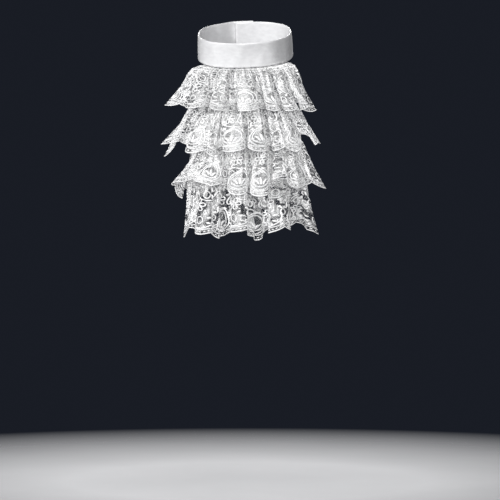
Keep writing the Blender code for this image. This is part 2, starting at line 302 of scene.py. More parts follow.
# Between two scallops, the first and the second group by turns
GAP_MOTIFS = (
    dict(
        blooms=((0, 51.4, 5, 1, 6.8, 5, 90, 1.5),), rings=((0, 34.6, 3.2, 4.4, 1.8),),
        leaves=(
            (0, 74.2, 40, 6, 3.4, 0.25), (0, 74.2, 140, 6, 3.4, -0.25), (-0.2, 68, 52, 6.5, 3.4, 0.25),
            (0.2, 68, 128, 6.5, 3.4, -0.25), (0, 21, 90, 8, 4, 0), (0, 29, 60, 5, 3, 0),
        ),
        cords=((1.7, ((0, 76.5), (-0.5, 70), (0.5, 63), (0, 58.4))),),
        spots=((-4.8, 40.6, 1.2, 1), (4.8, 40.2, 1.2, 1)),
    ),
    dict(
        blooms=((0, 67.4, 5, 1, 6.6, 4.8, 30, 1.5),), flowers=((0.4, 37.4, 5, 0.7, 5, 4.2, 90),),
        rings=((0, 53.4, 3, 4.2, 1.8), (0, 14.6, 3, 3.6, 1.8)),
        leaves=(
            (0, 48.4, 45, 6, 3.4, 0.2), (0, 48.4, 135, 6, 3.4, -0.2), (0, 21.4, 250, 5, 3.2, 0.2),
            (0, 21.4, 290, 5, 3.2, -0.2), (0, 76, 30, 5, 3, 0.2), (0, 76, 150, 5, 3, -0.2),
        ),
        spots=((-5, 59.6, 1.2, 1), (5.2, 59.4, 1.2, 1), (0, 27, 1.2, 1)),
    ),
)

# Neckband cloth: the folded strip's section from the inner layer's turned edge, as height share and
# distance out from the middle
BAND_SECTION = (
    (0.2, -0.3), (0.06, -0.32), (0, -0.6), (0.04, -0.98), (0.25, -1.12), (0.5, -1.15), (0.75, -1.12),
    (0.94, -1), (1, -0.35), (1, 0.35), (0.94, 1.05), (0.75, 1.3), (0.5, 1.4), (0.25, 1.3),
    (0.04, 1.05), (0, 0.6), (0.06, 0.32), (0.2, 0.3),
)
BAND_CUT = 84.0
BAND_COLUMNS = 260
SECTION_STEP = 1.2
# Its two ends: thickness as a share, and the distance over which it is reached
BAND_END_SHARE = 0.12
BAND_END_ZONE = 1.6
# Soft waves in its satin: rise, distance along it and height share for each radian, phase
SATIN_WAVES = ((0.22, 17, 1 / 2, 0), (0.12, 7.3, -1 / 3, 1))
# Soft creases in it: place from the middle back, width, rise, slant, height share
CREASES = (
    (186, 24, -1.9, 4, 0.6), (209, 7, 0.8, -8, 0.55), (227, 13, -0.9, 10, 0.5),
    (243, 7, 0.7, 12, 0.4), (255, 8, -0.6, -8, 0.5), (199, 5, 0.4, 16, 0.45),
    (176, 5, 0.35, -16, 0.45), (163, 8, 0.6, 12, 0.4), (150, 8, -0.5, -10, 0.6),
    (96, 12, 0.6, 8, 0.5), (120, 9, -0.5, -12, 0.4), (60, 14, 0.6, 10, 0.55),
    (292, 12, 0.6, -8, 0.5), (330, 14, 0.6, 10, 0.5),
)
# Both start this far from the middle back and come in over a zone, and a crease fades over a height share
CREASE_START = 30.0
CREASE_ZONE = 20.0
CREASE_FADE = 0.45

# Stitches, with their sections from end to end as (width share, rise in thicknesses)
STITCH_LENGTH = 2.4
STITCH_GAP = 0.9
STITCH_THICK = 0.42
STITCH_SECTIONS = ((0.25, -0.6), (0.85, 0.1), (1, 0.35), (0.85, 0.1), (0.25, -0.6))
STITCH_SIDES = 6
STITCH_FLATNESS = 0.8
# Share of its place in a row that is free before a stitch
STITCH_LEAD = 0.2
# Their rows along the neckband and a heading: distance from the edge, rise, free share at each end, points
BAND_SEAM = dict(up=2.6, off=1.12, margin=0.006, points=900)
HEAD_SEAM = dict(down=2.9, off=0.2, margin=0.004, points=500)

# Looks: shade and width of the thread, how much darker cloth is in places, and shade and pitch of the tapes
THREAD_SHADE = 0.86
THREAD_PITCH = 0.55
SHADE_SPREAD = 0.06
TAPE_LOOKS = {"loop_pile": (0.78, 0.6), "hook_grid": (0.74, 1.3)}

# Floor in metres: its height, its radius, and where it starts and ends to thin out
FLOOR_Z = -0.61
FLOOR_RADIUS = 0.9
FLOOR_GRID = (49, 25)
FADE_START = 0.25
FADE_END = 0.88
# Lights: name, place and target in metres, size in metres, power in watts
LIGHTS = (
    ("key", (-2.2, -2.0, 0.7), (0.0, -0.08, -0.12), 0.6, 101.0),
    ("front", (0.5, -3.4, 0.1), (0.0, -0.08, -0.12), 0.7, 76.0),
    ("top", (0.2, -0.4, 1.6), (0.0, -0.05, -0.1), 1.0, 8.0),
    ("behind", (0.1, 1.8, 1.3), (0.0, -0.05, -0.12), 1.2, 52.0),
)
WORLD_COLOUR = (0.010, 0.012, 0.018, 1.0)
# Camera: place and clipping distances in metres, lens in millimetres
CAMERA_PLACE = (0.007, -3.0, -0.288)
CAMERA_CLIP = (0.1, 50.0)
CAMERA_LENS = 154.3


def ease(value):
    """Smooth step from 0 to 1."""
    value = np.clip(value, 0.0, 1.0)
    return value * value * (3.0 - 2.0 * value)


def mix(first, last, share):
    return first + (last - first) * share


def unit(vectors):
    """The same directions with a length of one."""
    return vectors / np.maximum(np.linalg.norm(vectors, axis=-1, keepdims=True), TINY)


def path_lengths(path):
    """A path's length up to each of its points."""
    return np.concatenate(((0.0,), np.cumsum(np.linalg.norm(np.diff(path, axis=0), axis=1))))


def read_along(place, lengths, rows):
    """Values at places along a path, read between the rows given at its lengths."""
    return np.stack([np.interp(place, lengths, column) for column in rows.T], -1)


def waves(rows, first, second):
    """Sum of sine waves over two coordinates, one for each row (share, first, second, phase)."""
    return sum(share * np.sin(first / one + second / two + phase) for share, one, two, phase in rows)


def band_to_world(local):
    """Turn points of the level ring into the worn ring, tipped down at the front and rolled."""
    turn = np.array(Matrix.Rotation(-BAND_ROLL, 3, "Y") @ Matrix.Rotation(BAND_TIP, 3, "X"))
    return np.asarray(local) @ turn.T


def neck_outline():
    """Plan points of the neck's outline from the back over the wearer's left, with their arc lengths."""
    turn = np.linspace(0.0, math.tau, NECK_STEPS + 1)
    power = 2.0 / NECK_SQUARENESS
    across = np.sin(turn)
    along = np.cos(turn)
    plan = np.stack((
        0.5 * NECK_WIDTH * np.sign(across) * np.abs(across) ** power,
        0.5 * NECK_DEPTH * np.sign(along) * np.abs(along) ** power,
    ), axis=1)
    return plan, path_lengths(plan)


def ring_point(length, out, height):
    """Points at arc lengths from the middle back, moved outwards and up the ring's axis."""
    plan, lengths = neck_outline()
    girth = lengths[-1]
    place = np.mod(length, girth)
    before, here, after = (
        read_along(np.mod(place + step, girth), lengths, plan) for step in (-PROBE, 0.0, PROBE)
    )
    way = unit(after - before)
    outward = np.stack((-way[..., 1], way[..., 0]), -1)
    flat = here + outward * np.expand_dims(out, -1)
    height = np.broadcast_to(height, flat.shape[:-1])
    return band_to_world(np.concatenate((flat, height[..., None]), -1))


def neck_girth():
    return neck_outline()[1][-1]


def lap_rise(length):
    """How far the band's outer end stands off, to lie over the inner end and both tapes."""
    full = BAND_WALL + 2.0 * TAPE_WALL + 3.0 * SEAM_GAP
    start = neck_girth() - 0.5 * BACK_LAP - LAP_EASE
    return full * ease((length - start) / LAP_EASE)


def band_length(across):
    """Arc lengths from the middle back at shares of the neckband's strip."""
    return mix(-0.5 * BACK_LAP, neck_girth() + 0.5 * BACK_LAP, across)


def band_surface(across, up, off):
    """The neckband: across runs along the strip, up from its lower to its upper edge, off outwards."""
    length = band_length(across)
    out = lap_rise(length) + BAND_FLARE * (1.0 - up) ** 2 + off
    return ring_point(length, out, BAND_HEIGHT * (up - 0.5))


def tape_surface(across, up, out):
    """A closure tape's middle surface, centred on the middle back."""
    length = TAPE_LENGTH * (across - 0.5)
    flare = BAND_FLARE * (0.5 - TAPE_HEIGHT / BAND_HEIGHT * (up - 0.5)) ** 2
    return ring_point(length, out + flare, TAPE_HEIGHT * (up - 0.5))


def chest_surface(x, drop):
    """The backing's middle surface: x across it, drop down from the neckband's lower edge."""
    near = np.minimum(np.abs(x), 0.5 * BACKING_TOP) / (0.5 * NECK_WIDTH)
    ring_y = -0.5 * NECK_DEPTH * (1.0 - near ** NECK_SQUARENESS) ** (1.0 / NECK_SQUARENESS) - BAND_FLARE
    edge = band_to_world(np.stack((x, ring_y, np.full_like(x, -0.5 * BAND_HEIGHT)), -1))
    middle_y = band_to_world((0.0, -0.5 * NECK_DEPTH - BAND_FLARE, -0.5 * BAND_HEIGHT))[1]
    settled = ease(drop / CHEST_SETTLE)
    forward = CHEST_REACH * (1.0 - np.exp(-drop / CHEST_FALL))
    y = mix(edge[..., 1], middle_y + x * x / (2.0 * CHEST_RADIUS), settled) - forward
    z = mix(edge[..., 2], CHEST_TOP, settled) - drop
    return np.stack((x, y, z), -1)


def chest_front(x, drop):
    """The level direction that points straight out of the chest surface."""
    across = chest_surface(x + 0.5 * PROBE, drop) - chest_surface(x - 0.5 * PROBE, drop)
    return unit(np.stack((across[..., 1], -across[..., 0], np.zeros_like(x)), -1))


def backing_surface(across, down):
    half = 0.5 * mix(BACKING_TOP, BACKING_BOTTOM, down)
    x = mix(-half, half, across) + BACKING_SHIFT * down
    return chest_surface(x, mix(SEAM_GAP + BACKING_WALL, BACKING_DROP, down))


def hem_path(folds):
    """Points on the hem's curve through its folds, and the curve's length up to each."""
    share = np.linspace(0.0, 1.0, CURVE_STEPS, endpoint=False)[:, None]
    pieces = []
    for (*start, start_roll), (*end, end_roll) in zip(folds[:-1], folds[1:]):
        first, last = np.array(start), np.array(end)
        leave = first + np.array((start_roll, 0.0, 0.0))
        arrive = last - np.array((end_roll, 0.0, 0.0))
        pieces.append(
            (1 - share) ** 3 * first
            + 3 * (1 - share) ** 2 * share * leave
            + 3 * (1 - share) * share ** 2 * arrive
            + share ** 3 * last
        )
    pieces.append(np.array([folds[-1][:3]]))
    path = np.concatenate(pieces)
    return path, path_lengths(path)


def gather_rise(tier, across, down, place):
    """How far the gathers and the crumple stand out, with the gathers pressed flat along the heading."""
    turns = math.tau * tier["gathers"] * across
    gather = GATHER_RISE * (1.0 - np.cos(turns)) * (1.0 - down) ** GATHER_FADE
    for count, rise, fade, drift in FINE_GATHERS:
        turn = count * turns + drift * np.sin(DRIFT_RATE * drift * across + drift)
        gather = gather + rise * (1.0 - np.cos(turn)) * (1.0 - down) ** fade
    free = ease(down * LACE_WIDTH / PRESSED_ZONE)
    gather = gather * mix(PRESSED_SHARE, 1.0, free) - PRESSED_BACK * (1.0 - free)
    for rise, along_wave, down_wave in CRUMPLES:
        turn = math.tau * (place / along_wave + down * LACE_WIDTH / down_wave)
        gather = gather + rise * np.sin(turn) * ease(down / CRUMPLE_ZONE)
    return gather


def tier_surface(tier, across, down):
    """A lace tier: across from 0 to 1 along the strip, down from its heading to its hem."""
    path, lengths = hem_path(tier["folds"])
    cusps = np.interp(tier["cusps"], np.arange(len(lengths)) / CURVE_STEPS, lengths)
    scallops = len(cusps)
    counts = (0.0, *(np.arange(scallops) + 0.5), scallops)
    place = np.interp(across * scallops, counts, (0.0, *cusps, lengths[-1]))
    hem_x, depth, hem_z = (np.interp(place, lengths, column) for column in path.T)
    depths = [fold_depth for _, fold_depth, _, _ in tier["folds"]]
    fullness = (depth - min(depths)) / (max(depths) - min(depths))
    late = mix(tier["trough"], tier["crest"], fullness)
    lobe = np.abs(np.cos(math.pi * scallops * across)) ** SCALLOP_FULLNESS
    bent = ease(1.0 + (down - 1.0) / SCALLOP_ZONE)
    down = down * (1.0 - SCALLOP_DEPTH / LACE_WIDTH * (1.0 - lobe) * bent)

    head_x = mix(tier["left"], tier["right"], across)
    even_x = mix(path[0, 0], path[-1, 0], across)
    widening = down ** tier["spread"]
    narrowing = mix((tier["right"] - tier["left"]) / (path[-1, 0] - path[0, 0]), 1.0, widening)
    inwards = ease(np.minimum(across, 1.0 - across) / END_SHARE)
    opening = narrowing * down ** mix(END_FOLD_LATE, FOLD_LATE, inwards)
    x = mix(head_x, even_x, widening) + (hem_x - even_x) * opening
    hem_drop = CHEST_TOP - hem_z
    drop = mix(tier["heading"], hem_drop, down ** late ** -SAG_SHARE)
    seat = SEAT_SHARE * (0.5 * (BACKING_WALL + LACE_WALL) + SEAM_GAP)
    hem_out = depth + chest_surface(hem_x, hem_drop)[..., 1]
    swell = FOLD_SWELL * fullness * np.sin(math.pi * np.clip(down, 0.0, 1.0) ** SWELL_LATE)
    out = seat + gather_rise(tier, across, down, place) + swell + (hem_out - seat) * down ** late
    turned = ease(down / TURN_SHARE)[..., None]
    front = unit(mix(chest_front(head_x, tier["heading"]), np.array((0.0, -1.0, 0.0)), turned))
    return chest_surface(x, drop) + front * out[..., None]


def tuck_rows(tier, across):
    """The rows of the top tier that are hidden in the neckband's lower edge, upper row first."""
    x = mix(tier["left"], tier["right"], across)
    edge = chest_surface(x, np.zeros_like(x))
    way = band_to_world((0.0, 2.0 * BAND_FLARE / BAND_HEIGHT, 1.0))
    return np.stack([edge + rise * way for rise in TUCK_RISES])


def lifted(surface, first, second, lift):
    """Points of a surface at its two shares, moved off it to the front by lift."""
    along = surface(first + SHARE_PROBE, second) - surface(first - SHARE_PROBE, second)
    low, high = np.clip(second - SHARE_PROBE, 0.0, 1.0), np.clip(second + SHARE_PROBE, 0.0, 1.0)
    normal = unit(np.cross(along, surface(first, high) - surface(first, low)))
    return surface(first, second) - normal * np.expand_dims(lift, -1)


def grid_faces(rows, columns):
    corner = np.arange(rows * columns).reshape(rows, columns)
    faces = np.stack((corner[:-1, :-1], corner[:-1, 1:], corner[1:, 1:], corner[1:, :-1]), -1)
    return faces.reshape(-1, 4).tolist()


def slab_faces(rows, columns):
    """Faces of a closed slab: a first grid, a second one turned over, and the rim between them."""
    size = rows * columns
    first = grid_faces(rows, columns)
    second = [[corner + size for corner in reversed(face)] for face in first]
    corner = np.arange(size).reshape(rows, columns)
    edge = [*corner[0], *corner[1:, -1], *corner[-1, -2::-1], *corner[-2:0:-1, 0]]
    rim = [[b, a, a + size, b + size] for a, b in zip(edge, edge[1:] + edge[:1])]
    return first + second + rim


def grid(columns, rows):
    return np.meshgrid(np.linspace(0.0, 1.0, columns), np.linspace(0.0, 1.0, rows))


def new_object(name, data):
    made = bpy.data.objects.new(name, data)
    bpy.context.collection.objects.link(made)
    return made


def make_piece(name, points, faces, look, chart):
    """Make a smooth mesh piece from points in millimetres, with chart as its texture coordinates."""
    mesh = bpy.data.meshes.new(name)
    mesh.from_pydata((np.asarray(points).reshape(-1, 3) * MM).tolist(), [], faces)
    mesh.shade_smooth()
    mesh.materials.append(look)
    corners = np.empty(len(mesh.loops), int)
    mesh.loops.foreach_get("vertex_index", corners)
    layer = mesh.uv_layers.new(name="UVMap")
    layer.data.foreach_set("uv", np.asarray(chart, float).reshape(-1, 2)[corners].ravel())
    piece = new_object(name, mesh)
    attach(piece, BODY)
    return piece


def smooth(points, step=CORD_STEP):
    """Points about a step apart on a smooth curve through the given ones."""
    knots = np.array(points, float)
    padded = np.concatenate((2 * knots[:1] - knots[1:2], knots, 2 * knots[-1:] - knots[-2:-1]))
    curve = []
    for first, second, third, fourth in zip(padded[:-3], padded[1:-2], padded[2:-1], padded[3:]):
        count = max(2, round(np.linalg.norm(third - second) / step))
        t = np.linspace(0.0, 1.0, count, endpoint=False)[:, None]
        curve.append(0.5 * (
            2 * second
            + (third - first) * t
            + (2 * first - 5 * second + 4 * third - fourth) * t ** 2
            + (3 * second - first - 3 * third + fourth) * t ** 3
        ))
    curve.append(knots[-1:])
    return np.concatenate(curve)


def ribbon(line, width, rise):
    """A raised cord along a line in the chart: points (a, w, lift), faces, and their own chart."""
    line = np.asarray(line, float)
    count = len(line)
    way = unit(np.gradient(line, axis=0))
    side = np.stack((-way[:, 1], way[:, 0]), 1) * 0.5 * np.broadcast_to(width, count)[:, None]
    rows = ((line - side, 0.0), (line, rise), (line + side, 0.0), (line, -CORD_SINK))
    points = np.concatenate([np.column_stack((row, np.full(count, lift))) for row, lift in rows])
    lengths = path_lengths(line)
    chart = np.concatenate([
        np.column_stack((lengths, np.full(count, SIDE_CHART * row))) for row in range(len(rows))
    ])
    faces = [
        (first * count + step, second * count + step, second * count + step + 1, first * count + step + 1)
        for first, second in ((0, 1), (1, 2), (2, 3), (3, 0))
        for step in range(count - 1)
    ]
    return points, faces, chart


def axes_at(angle):
    """Directions in a chart, at an angle in degrees and to its side."""
    turn = math.radians(angle)
    return np.array((math.cos(turn), -math.sin(turn))), np.array((math.sin(turn), math.cos(turn)))


def leaf(a, w, angle, length, width, bend):
    """A filled leaf that runs from its foot at (a, w), bent to one side."""
    share = np.linspace(0.0, 1.0, LEAF_STEPS + 1)
    way, side = axes_at(angle)
    bow = 2.0 * bend * share * (1.0 - share)
    line = np.array((a, w)) + length * (share[:, None] * way + bow[:, None] * side)
    return ribbon(line, width * np.sin(math.pi * mix(*LEAF_SPAN, share)) ** LEAF_FULLNESS, FILL_RISE)


def ring(a, w, radius_a, radius_w, width):
    count = max(LEAST_RING_SIDES, round(math.tau * max(radius_a, radius_w) / CORD_STEP))
    turn = np.linspace(0.0, math.tau, count + 1)
    line = np.stack((a + radius_a * np.cos(turn), w + radius_w * np.sin(turn)), 1)
    return ribbon(line, width, CORD_RISE)


def shell(bottom, height, width, lean, cord):
    """A drop's outline, round at the hem, its point leaning over towards the heading."""
    turn = np.linspace(0.0, math.tau, round(SHELL_OUTLINE * height / CORD_STEP) + 1)
    up = 0.5 * (1.0 + np.cos(turn))
    across = 0.5 * width * np.sin(turn) * np.abs(np.sin(0.5 * turn)) ** SHELL_POINT + lean * up ** 2
    return ribbon(np.stack((across, bottom - height * up), 1), cord, CORD_RISE)


def flower(a, w, petals, inner, outer, width, turn):
    """A flower of filled petals."""
    made = []
    for petal in range(petals):
        angle = turn + 360.0 * petal / petals
        way, _ = axes_at(angle)
        made.append(leaf(a + inner * way[0], w + inner * way[1], angle, outer - inner, width, 0.0))
    return made


def bloom(a, w, petals, inner, outer, width, turn, cord):
    """A flower of petals that are outlined by a cord, with the net showing inside them."""
    made = []
    round_petal = np.linspace(0.0, math.tau, PETAL_POINTS)
    along = mix(inner, outer, 0.5 - 0.5 * np.cos(round_petal))[:, None]
    taper = 1.0 - PETAL_TAPER * (1.0 + np.cos(round_petal))
    across = (0.5 * width * np.sin(round_petal) * taper)[:, None]
    for petal in range(petals):
        way, side = axes_at(turn + 360.0 * petal / petals)
        made.append(ribbon(np.array((a, w)) + along * way + across * side, cord, CORD_RISE))
    return made


def bead(a, w, half_a, half_w):
    sides = BEAD_SIDES
    turn = np.arange(sides) * math.tau / sides
    rim = np.column_stack((a + half_a * np.cos(turn), w + half_w * np.sin(turn), np.zeros(sides)))
    points = np.vstack((rim, (a, w, CORD_RISE), (a, w, -CORD_SINK)))
    faces = [(i, sides, (i + 1) % sides) for i in range(sides)]
    faces += [((i + 1) % sides, sides + 1, i) for i in range(sides)]
    return points, faces, points[:, :2]


def motif_group(chart):
    """The thread work of one group of motifs, about its own middle."""
    made = [ribbon(smooth(points), width, CORD_RISE) for width, points in chart.get("cords", ())]
    made += [leaf(*row) for row in chart.get("leaves", ())]
    for row in chart.get("flowers", ()):
        made += flower(*row)
    for row in chart.get("blooms", ()):
        made += bloom(*row)
    made += [ring(*row) for row in chart.get("rings", ())]
    made += [shell(*row) for row in chart.get("shells", ())]
    made += [bead(*row) for row in chart.get("spots", ())]
    return made


def strayed(a, w):
    """Where the points of a motif go, as they stray from their chart."""
    share = np.clip((STRAY["end"] - w) / STRAY["zone"], 0.0, 1.0)
    along, down = waves(ALONG_WAVES, a, w), waves(DOWN_WAVES, a, w)
    return a + STRAY["along"] * share * along, w + STRAY["down"] * share * down


def lace_work(scallops, tucked, scrolls):
    """The thread work of a strip: points (a, w, lift), faces and their chart, with no heading if tucked."""
    length = scallops * CHART_PITCH
    line = np.linspace(0.0, length, round(length / CORD_STEP) + 1)
    first = TUCKED_MARGIN if tucked else 0.0
    made = [ribbon(np.column_stack((line, np.full_like(line, w))), width, CORD_RISE)
            for w, width in EDGE_CORDS if w >= first]
    for w, pitch, half_a, half_w in BEAD_ROWS:
        if w >= first:
            count = round(length / pitch)
            made += [bead((k + 0.5) * length / count, w, half_a, half_w) for k in range(count)]
    for w, rise, wave, curl, phase, width in SCROLLS[:scrolls]:
        turn = math.tau * line / wave + phase
        scroll = np.column_stack((line + curl * np.sin(2.0 * turn), w + rise * np.sin(turn)))
        scroll[:, 0] = np.clip(scroll[:, 0], EDGE_MARGIN, length - EDGE_MARGIN)
        made.append(ribbon(scroll, width, SCROLL_RISE))
    groups = [(k * CHART_PITCH, SCALLOP_MOTIFS[k % 2], (-1) ** k) for k in range(scallops + 1)]
    groups += [((k + 0.5) * CHART_PITCH, GAP_MOTIFS[k % 2], 1) for k in range(scallops)]
    for middle, chart, flip in groups:
        for points, faces, own in motif_group(chart):
            points = points * (flip, 1.0, 1.0) + (middle, 0.0, 0.0)
            a, points[:, 1] = strayed(points[:, 0], points[:, 1])
            points[:, 0] = np.clip(a, EDGE_MARGIN, length - EDGE_MARGIN)
            faces = [face for face in faces if np.ptp(points[list(face), 0]) > LEAST_FACE]
            if faces:
                made.append((points, faces, own))
    return joined(made)


def joined(made):
    """One mesh from several: their points, faces and charts."""
    points, faces, charts, start = [], [], [], 0
    for some, corners, own in made:
        points.append(some)
        charts.append(own)
        faces += [tuple(corner + start for corner in face) for face in corners]
        start += len(some)
    return np.concatenate(points), faces, np.concatenate(charts)


class Nodes:
    """Short ways to add and link the nodes of one material."""

    def __init__(self, name):
        self.look = bpy.data.materials.new(name)
        self.look.use_nodes = True
        self.tree = self.look.node_tree
        self.shader = self.tree.nodes["Principled BSDF"]

    def add(self, kind, **settings):
        node = self.tree.nodes.new(kind)
        for key, value in settings.items():
            setattr(node, key, value)
        return node

    def put(self, socket, value):
        if isinstance(value, bpy.types.NodeSocket):
            self.tree.links.new(value, socket)
        else:
            socket.default_value = value

    def calc(self, operation, *values):
        node = self.add("ShaderNodeMath", operation=operation)
        for socket, value in zip(node.inputs, values):
            self.put(socket, value)
        return node.outputs[0]

    def noise(self, place, scale, detail=3.0, stretch=(1.0, 1.0, 1.0), start=0.0):
        """Noise at a place that is first stretched and moved along by start."""
        spread = self.add("ShaderNodeMapping")
        self.put(spread.inputs["Vector"], place)
        self.put(spread.inputs["Location"], (start, 0.0, 0.0))
        self.put(spread.inputs["Scale"], stretch)
        node = self.add("ShaderNodeTexNoise")
        self.put(node.inputs["Vector"], spread.outputs[0])
        self.put(node.inputs["Scale"], scale)
        self.put(node.inputs["Detail"], detail)
        return node.outputs["Fac"]

    def ramp(self, value, *stops):
        node = self.add("ShaderNodeValToRGB")
        self.put(node.inputs[0], value)
        places = node.color_ramp.elements
        while len(places) < len(stops):
            places.new(0.5)
        for place, (at, shade) in zip(places, stops):
            place.position = at
            place.color = (*shade, 1.0) if isinstance(shade, tuple) else (shade, shade, shade, 1.0)
        return node.outputs[0]

    def vary(self, socket, value, low, high, start=0.3, end=0.7):
        """Let a socket of the shader go from low to high as value goes from start to end."""
        self.put(self.shader.inputs[socket], self.ramp(value, (start, low), (end, high)))

    def bump(self, height, distance, strength):
        node = self.add("ShaderNodeBump")
        self.put(node.inputs["Height"], height)
        self.put(node.inputs["Distance"], distance)
        self.put(node.inputs["Strength"], strength)
        self.put(self.shader.inputs["Normal"], node.outputs[0])

    def chart(self):
        return self.add("ShaderNodeTexCoord").outputs["UV"]

    def chart_axes(self):
        split = self.add("ShaderNodeSeparateXYZ")
        self.put(split.inputs[0], self.chart())
        return split.outputs[0], split.outputs[1]

    def place(self):
        return self.add("ShaderNodeTexCoord").outputs["Object"]


def net_look(name):
    """Fine three-way net with clear openings, and patches where the threads are worked close together."""
    net = NETS[name]
    n = Nodes(name)
    along, down = n.chart_axes()
    stretch = (1.0, net["stretch"], 1.0)
    noise = n.noise(n.chart(), net["scale"], 1.0, stretch, net["start"])
    patch = n.calc("ADD", noise, n.calc("MULTIPLY", down, -PATCH_FALL))
    width = n.ramp(patch, (PATCH_START, net["thread"]), (PATCH_FULL, net["worked"]))
    reach = n.calc("MULTIPLY", width, 0.5 / net["mesh"])
    threads = None
    for angle in NET_ANGLES:
        turn = math.radians(angle)
        line = n.calc("ADD", n.calc("MULTIPLY", along, math.cos(turn) / net["mesh"]),
                      n.calc("MULTIPLY", down, math.sin(turn) / net["mesh"]))
        near = n.calc("LESS_THAN", n.calc("PINGPONG", line, 0.5), reach)
        threads = near if threads is None else n.calc("MAXIMUM", threads, near)
    n.put(n.shader.inputs["Alpha"], threads)
    n.vary("Base Color", n.noise(n.place(), scale=60.0), low=0.91, high=0.96)
    n.vary("Roughness", n.noise(n.place(), scale=90.0), low=0.6, high=0.75)
    return n.look


def thread_look(name):
    """Bright thread laid side by side across each cord."""
    n = Nodes(name)
    along, _ = n.chart_axes()
    turns = n.calc("SINE", n.calc("MULTIPLY", along, math.tau / THREAD_PITCH))
    height = n.calc("ADD", n.calc("MULTIPLY", turns, 0.5), n.noise(n.place(), scale=900.0))
    n.bump(height, distance=0.00012, strength=0.6)
    low, high = (tuple(tint * shade for tint in (1.0, 1.0, 1.005))
                 for shade in (THREAD_SHADE - SHADE_SPREAD, THREAD_SHADE))
    n.vary("Base Color", n.noise(n.place(), scale=45.0), low, high)
    n.vary("Roughness", n.noise(n.place(), scale=300.0), low=0.45, high=0.62)
    n.put(n.shader.inputs["Sheen Weight"], 0.25)
    return n.look


def satin_look():
    """White satin: long floats along the strip, and a soft sheen."""
    n = Nodes("white_satin")
    chart = n.chart()
    floats = n.noise(chart, scale=3.0, detail=2.0, stretch=(0.35, 3.0, 1.0))
    slubs = n.noise(chart, scale=0.12, detail=3.0, stretch=(1.0, 2.0, 1.0))
    n.bump(n.calc("ADD", n.calc("MULTIPLY", floats, 0.3), slubs), distance=0.00025, strength=0.2)
    n.vary("Base Color", slubs, low=(0.55, 0.55, 0.56), high=(0.63, 0.63, 0.64))
    n.vary("Roughness", floats, low=0.31, high=0.37)
    n.put(n.shader.inputs["Sheen Weight"], 0.2)
    n.put(n.shader.inputs["Sheen Roughness"], 0.4)
    n.put(n.shader.inputs["Specular IOR Level"], 0.6)
    return n.look


def woven_look(name, shade, pitch):
    """Plain weave: threads over and under each other."""
    n = Nodes(name)
    warp, weft = (n.calc("SINE", n.calc("MULTIPLY", axis, math.tau / pitch)) for axis in n.chart_axes())
    weave = n.calc("MULTIPLY", warp, weft)
    n.bump(n.calc("ADD", weave, n.noise(n.place(), scale=500.0)), distance=0.00015, strength=0.5)
    n.vary("Base Color", n.noise(n.place(), scale=30.0), low=shade - SHADE_SPREAD, high=shade)
    n.vary("Roughness", weave, low=0.6, high=0.8, start=0.2, end=0.8)
    return n.look


def floor_look():
    """Pale plain floor that thins out softly towards its rim."""
    n = Nodes("pale_floor")
    n.vary("Base Color", n.noise(n.place(), scale=5.0), low=(0.50, 0.50, 0.51), high=(0.53, 0.53, 0.54))
    n.vary("Roughness", n.noise(n.place(), scale=30.0), low=0.8, high=0.9)
    n.put(n.shader.inputs["Specular IOR Level"], 0.1)
    reach = n.add("ShaderNodeVectorMath", operation="LENGTH")
    n.put(reach.inputs[0], n.place())
    n.vary("Alpha", reach.outputs["Value"], low=1.0, high=0.0, start=FADE_START, end=FADE_END)
    return n.look


def stitches(name, line, normals, look):
    """A row of thread stitches along a line of points, each a low lozenge lying on the cloth."""
    lengths = path_lengths(line)
    count = int(lengths[-1] / (STITCH_LENGTH + STITCH_GAP))
    sections, sides = len(STITCH_SECTIONS), STITCH_SIDES
    swell, rise = np.array(STITCH_SECTIONS).T[:, :, None]
    turns = np.linspace(0.0, math.tau, sides, endpoint=False)
    faces = [(ring + c, ring + (c + 1) % sides, ring + sides + (c + 1) % sides, ring + sides + c)
             for ring in range(0, (sections - 1) * sides, sides) for c in range(sides)]
    made = []
    for k in range(count):
        start = (k + STITCH_LEAD) * lengths[-1] / count
        place = start + STITCH_LENGTH * np.linspace(0.0, 1.0, sections)
        middle = read_along(place, lengths, line)
        off = unit(read_along(place, lengths, normals))
        side = unit(np.cross(np.gradient(middle, axis=0), off))
        middle = middle + off * rise * STITCH_THICK
        points = np.stack([
            middle + 0.5 * STITCH_THICK * swell * (math.cos(a) * side + STITCH_FLATNESS * math.sin(a) * off)
            for a in turns
        ], 1).reshape(-1, 3)
        made.append((points, faces, points[:, :2]))
    points, faces, chart = joined(made)
    return make_piece(name, points, faces, look, chart)


def seam_shares(seam):
    return np.linspace(seam["margin"], 1.0 - seam["margin"], seam["points"])


def make_tier(name, tier, net, thread, sewing):
    """A lace tier: its net, its raised motifs, and the stitches along its heading unless it is tucked in."""
    def surface(across, down):
        return tier_surface(tier, across, down)

    length = hem_path(tier["folds"])[1][-1]
    tucked = tier["sewn_to"] == "neckband"
    across, down = grid(tier["gathers"] * NET_COLUMNS + 1, NET_ROWS)
    points = surface(across, down)
    chart = np.stack((across * length, down * LACE_WIDTH), -1)
    if tucked:
        above = np.stack(np.broadcast_arrays(across[0] * length, -np.array(TUCK_RISES)[:, None]), -1)
        points = np.concatenate((tuck_rows(tier, across[0]), points))
        chart = np.concatenate((above, chart))
    faces = grid_faces(*points.shape[:2])
    cloth = make_piece(name.replace("tier", "net"), points, faces, net, chart)
    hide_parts(name)
    scallops = len(tier["cusps"])
    points, faces, chart = lace_work(scallops, tucked, tier["scrolls"])
    a, w, lift = points.T
    work = lifted(surface, a / (scallops * CHART_PITCH), w / LACE_WIDTH, lift)
    pieces = [make_piece(name.replace("tier", "motifs"), work, faces, thread, chart)]
    if not tucked:
        share, row = seam_shares(HEAD_SEAM), HEAD_SEAM["down"] / LACE_WIDTH
        line = lifted(surface, share, row, HEAD_SEAM["off"])
        away = line - surface(share, row)
        pieces.append(stitches(name.replace("tier", "stitches"), line, away, sewing))


